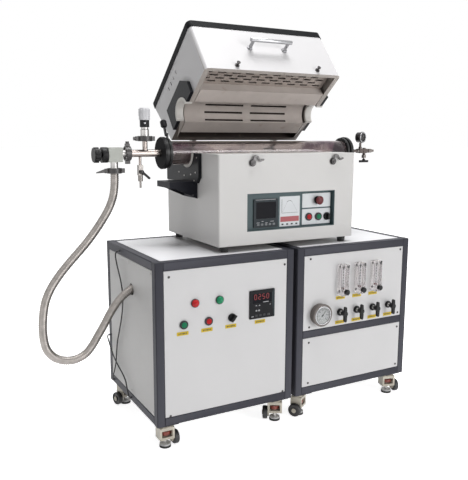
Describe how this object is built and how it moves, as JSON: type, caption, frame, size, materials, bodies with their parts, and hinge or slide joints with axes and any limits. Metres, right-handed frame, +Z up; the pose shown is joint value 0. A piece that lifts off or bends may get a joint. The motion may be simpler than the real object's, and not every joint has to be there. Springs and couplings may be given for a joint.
{
  "type": "split tube furnace",
  "caption": "Hinged split tube furnace with a quartz tube between sealed flanges, on two wheeled cabinets holding a vacuum pump and gas valves.",
  "frame": {"origin": "on the floor, under the middle of the set's box with the lid open and the free hose left out", "axes": "+Z up, +X to the right along the process tube seen from the front, +Y to the rear"},
  "size_m": [1.351, 0.636, 1.3705],
  "materials": {
    "frame_steel": "slate powder coat",
    "panel_paint": "off-white powder coat",
    "meter_plastic": "moulded",
    "meter_acrylic": "clear block",
    "steel": "brushed",
    "furnace_paint": "warm white powder coat",
    "ceramic": "vacuum-formed ceramic fibre",
    "dark_steel": "dark powder coat",
    "quartz": "clear fused quartz",
    "black_aluminium": "black anodised",
    "valve_metal": "cast and bead blasted",
    "pump_paint": "blue-grey enamel",
    "cover_paint": "black powder coat",
    "hose_plastic": "ribbed",
    "cable_rubber": "matte",
    "green_plastic": "moulded",
    "red_plastic": "moulded",
    "stop_plastic": "moulded",
    "black_plastic": "moulded",
    "caster_casting": "cream enamel",
    "wheel_nylon": "moulded nylon"
  },
  "bodies": {
    "stand": {"cabinet_frames": "frame_steel", "cabinet_panels": "panel_paint", "front_panels": "panel_paint", "panel_meters": "meter_plastic", "lamps_and_bezels": "meter_plastic", "flow_meters": "meter_acrylic", "gas_manifold": "steel", "furnace_housing": "furnace_paint", "furnace_insulation": "ceramic", "tube_supports": "dark_steel", "process_tube": "quartz", "tube_flanges": "black_aluminium", "vacuum_line": "steel", "vacuum_sensor": "steel", "gas_inlet": "steel", "angle_valve": "valve_metal", "vacuum_pump": "pump_paint", "vacuum_hose": "hose_plastic", "sensor_cable": "cable_rubber", "thermocouple_cable": "cable_rubber"},
    "lid": {"lid_shell": "furnace_paint", "lid_cover": "cover_paint", "lid_insulation": "ceramic", "lid_fittings": "steel"},
    "pump_start_button": {"pump_start_button": "green_plastic"},
    "pump_stop_button": {"pump_stop_button": "red_plastic"},
    "heat_stop_button": {"heat_stop_button": "red_plastic"},
    "heat_start_button": {"heat_start_button": "green_plastic"},
    "emergency_stop": {"emergency_stop": "stop_plastic"},
    "pump_selector": {"pump_selector": "black_plastic"},
    "power_selector": {"power_selector": "black_plastic"},
    "flow_knob_1": {"flow_knob_1": "black_plastic"},
    "flow_knob_2": {"flow_knob_2": "black_plastic"},
    "flow_knob_3": {"flow_knob_3": "black_plastic"},
    "gas_valve_handle_1": {"gas_valve_handle_1": "black_plastic"},
    "gas_valve_handle_2": {"gas_valve_handle_2": "black_plastic"},
    "gas_valve_handle_3": {"gas_valve_handle_3": "black_plastic"},
    "gas_valve_handle_4": {"gas_valve_handle_4": "black_plastic"},
    "angle_valve_knob": {"angle_valve_knob": "black_plastic"},
    "drain_valve_lever": {"drain_valve_lever": "black_plastic"},
    "inlet_valve_handle": {"inlet_valve_handle": "black_plastic"},
    "flange_clamp_lever": {"flange_clamp_lever": "black_plastic"},
    "latch_hook_left": {"latch_hook_left": "steel"},
    "latch_hook_right": {"latch_hook_right": "steel"},
    "left_caster_fl": {"left_caster_fl": "caster_casting"},
    "left_wheel_fl": {"left_wheel_fl": "wheel_nylon"},
    "left_caster_fr": {"left_caster_fr": "caster_casting"},
    "left_wheel_fr": {"left_wheel_fr": "wheel_nylon"},
    "left_caster_rl": {"left_caster_rl": "caster_casting"},
    "left_wheel_rl": {"left_wheel_rl": "wheel_nylon"},
    "left_caster_rr": {"left_caster_rr": "caster_casting"},
    "left_wheel_rr": {"left_wheel_rr": "wheel_nylon"},
    "right_caster_fl": {"right_caster_fl": "caster_casting"},
    "right_wheel_fl": {"right_wheel_fl": "wheel_nylon"},
    "right_caster_fr": {"right_caster_fr": "caster_casting"},
    "right_wheel_fr": {"right_wheel_fr": "wheel_nylon"},
    "right_caster_rl": {"right_caster_rl": "caster_casting"},
    "right_wheel_rl": {"right_wheel_rl": "wheel_nylon"},
    "right_caster_rr": {"right_caster_rr": "caster_casting"},
    "right_wheel_rr": {"right_wheel_rr": "wheel_nylon"}
  },
  "joints": [
    {"name": "lid_hinge", "type": "hinge", "parent": "stand", "child": "lid", "pos_m": [0.037, 0.19728, 0.939], "axis": [-1, 0, 0], "range_deg": [-39.5, 20]},
    {"name": "pump_start_button_press", "type": "slide", "parent": "stand", "child": "pump_start_button", "axis": [0, 1, 0], "range_m": [0, 0.003], "stiffness_N_per_m": 600, "springref_m": -0.002},
    {"name": "pump_stop_button_press", "type": "slide", "parent": "stand", "child": "pump_stop_button", "axis": [0, 1, 0], "range_m": [0, 0.003], "stiffness_N_per_m": 600, "springref_m": -0.002},
    {"name": "heat_stop_button_press", "type": "slide", "parent": "stand", "child": "heat_stop_button", "axis": [0, 1, 0], "range_m": [0, 0.003], "stiffness_N_per_m": 600, "springref_m": -0.002},
    {"name": "heat_start_button_press", "type": "slide", "parent": "stand", "child": "heat_start_button", "axis": [0, 1, 0], "range_m": [0, 0.003], "stiffness_N_per_m": 600, "springref_m": -0.002},
    {"name": "emergency_stop_press", "type": "slide", "parent": "stand", "child": "emergency_stop", "axis": [0, 1, 0], "range_m": [0, 0.003], "stiffness_N_per_m": 600, "springref_m": -0.002},
    {"name": "pump_selector_turn", "type": "hinge", "parent": "stand", "child": "pump_selector", "pos_m": [-0.2125, -0.27571, 0.409], "axis": [0, 1, 0], "range_deg": [-80, 0]},
    {"name": "power_selector_turn", "type": "hinge", "parent": "stand", "child": "power_selector", "pos_m": [0.2045, -0.21271, 0.708], "axis": [0, 1, 0], "range_deg": [0, 90]},
    {"name": "flow_knob_1_turn", "type": "hinge", "parent": "stand", "child": "flow_knob_1", "pos_m": [0.2265, -0.30972, 0.449], "axis": [0, 1, 0], "range_deg": [0, 720]},
    {"name": "flow_knob_2_turn", "type": "hinge", "parent": "stand", "child": "flow_knob_2", "pos_m": [0.301, -0.30972, 0.449], "axis": [0, 1, 0], "range_deg": [0, 720]},
    {"name": "flow_knob_3_turn", "type": "hinge", "parent": "stand", "child": "flow_knob_3", "pos_m": [0.3755, -0.30972, 0.449], "axis": [0, 1, 0], "range_deg": [0, 720]},
    {"name": "gas_valve_1_turn", "type": "hinge", "parent": "stand", "child": "gas_valve_handle_1", "pos_m": [0.2265, -0.30272, 0.369], "axis": [0, 1, 0], "range_deg": [0, 90]},
    {"name": "gas_valve_2_turn", "type": "hinge", "parent": "stand", "child": "gas_valve_handle_2", "pos_m": [0.301, -0.30272, 0.369], "axis": [0, 1, 0], "range_deg": [0, 90]},
    {"name": "gas_valve_3_turn", "type": "hinge", "parent": "stand", "child": "gas_valve_handle_3", "pos_m": [0.3755, -0.30272, 0.369], "axis": [0, 1, 0], "range_deg": [0, 90]},
    {"name": "gas_valve_4_turn", "type": "hinge", "parent": "stand", "child": "gas_valve_handle_4", "pos_m": [0.45, -0.30272, 0.369], "axis": [0, 1, 0], "range_deg": [0, 90]},
    {"name": "angle_valve_turn", "type": "hinge", "parent": "stand", "child": "angle_valve_knob", "pos_m": [-0.565, -0.01672, 0.926], "axis": [1, 0, 0], "range_deg": [0, 1440]},
    {"name": "drain_valve_turn", "type": "hinge", "parent": "stand", "child": "drain_valve_lever", "pos_m": [-0.4185, -0.03472, 0.87], "axis": [0, 1, 0], "range_deg": [0, 90]},
    {"name": "inlet_valve_turn", "type": "hinge", "parent": "stand", "child": "inlet_valve_handle", "pos_m": [0.5285, -0.01672, 0.894], "axis": [0, 0, 1], "range_deg": [0, 90]},
    {"name": "flange_clamp_turn", "type": "hinge", "parent": "stand", "child": "flange_clamp_lever", "pos_m": [-0.3245, -0.02072, 0.991], "axis": [1, 0, 0], "range_deg": [-20, 60]},
    {"name": "latch_left_turn", "type": "hinge", "parent": "stand", "child": "latch_hook_left", "pos_m": [-0.1125, -0.23472, 0.902], "axis": [0, 1, 0], "range_deg": [-70, 60]},
    {"name": "latch_right_turn", "type": "hinge", "parent": "stand", "child": "latch_hook_right", "pos_m": [0.2125, -0.23472, 0.902], "axis": [0, 1, 0], "range_deg": [-70, 60]},
    {"name": "left_caster_fl_swivel", "type": "hinge", "parent": "stand", "child": "left_caster_fl", "pos_m": [-0.4335, -0.23472, 0.06], "axis": [0, 0, 1], "continuous": true},
    {"name": "left_wheel_fl_spin", "type": "hinge", "parent": "left_caster_fl", "child": "left_wheel_fl", "pos_m": [-0.3995, -0.23472, 0.026], "axis": [1, 0, 0], "continuous": true},
    {"name": "left_caster_fr_swivel", "type": "hinge", "parent": "stand", "child": "left_caster_fr", "pos_m": [-0.0175, -0.23472, 0.06], "axis": [0, 0, 1], "continuous": true},
    {"name": "left_wheel_fr_spin", "type": "hinge", "parent": "left_caster_fr", "child": "left_wheel_fr", "pos_m": [-0.04695, -0.21771, 0.026], "axis": [-0.866, 0.5, 0], "continuous": true},
    {"name": "left_caster_rl_swivel", "type": "hinge", "parent": "stand", "child": "left_caster_rl", "pos_m": [-0.4335, 0.15129, 0.06], "axis": [0, 0, 1], "continuous": true},
    {"name": "left_wheel_rl_spin", "type": "hinge", "parent": "left_caster_rl", "child": "left_wheel_rl", "pos_m": [-0.46634, 0.14249, 0.026], "axis": [-0.9659, -0.2588, 0], "continuous": true},
    {"name": "left_caster_rr_swivel", "type": "hinge", "parent": "stand", "child": "left_caster_rr", "pos_m": [-0.0175, 0.15129, 0.06], "axis": [0, 0, 1], "continuous": true},
    {"name": "left_wheel_rr_spin", "type": "hinge", "parent": "left_caster_rr", "child": "left_wheel_rr", "pos_m": [0.01534, 0.16009, 0.026], "axis": [0.9659, 0.2588, 0], "continuous": true},
    {"name": "right_caster_fl_swivel", "type": "hinge", "parent": "stand", "child": "right_caster_fl", "pos_m": [0.0825, -0.23472, 0.06], "axis": [0, 0, 1], "continuous": true},
    {"name": "right_wheel_fl_spin", "type": "hinge", "parent": "right_caster_fl", "child": "right_wheel_fl", "pos_m": [0.05465, -0.25422, 0.026], "axis": [-0.8192, -0.5736, 0], "continuous": true},
    {"name": "right_caster_fr_swivel", "type": "hinge", "parent": "stand", "child": "right_caster_fr", "pos_m": [0.4985, -0.23472, 0.06], "axis": [0, 0, 1], "continuous": true},
    {"name": "right_wheel_fr_spin", "type": "hinge", "parent": "right_caster_fr", "child": "right_wheel_fr", "pos_m": [0.53134, -0.24352, 0.026], "axis": [0.9659, -0.2588, 0], "continuous": true},
    {"name": "right_caster_rl_swivel", "type": "hinge", "parent": "stand", "child": "right_caster_rl", "pos_m": [0.0825, 0.15129, 0.06], "axis": [0, 0, 1], "continuous": true},
    {"name": "right_wheel_rl_spin", "type": "hinge", "parent": "right_caster_rl", "child": "right_wheel_rl", "pos_m": [0.0485, 0.15129, 0.026], "axis": [-1, 0, 0], "continuous": true},
    {"name": "right_caster_rr_swivel", "type": "hinge", "parent": "stand", "child": "right_caster_rr", "pos_m": [0.4985, 0.15129, 0.06], "axis": [0, 0, 1], "continuous": true},
    {"name": "right_wheel_rr_spin", "type": "hinge", "parent": "right_caster_rr", "child": "right_wheel_rr", "pos_m": [0.53045, 0.16291, 0.026], "axis": [0.9397, 0.342, 0], "continuous": true}
  ]
}
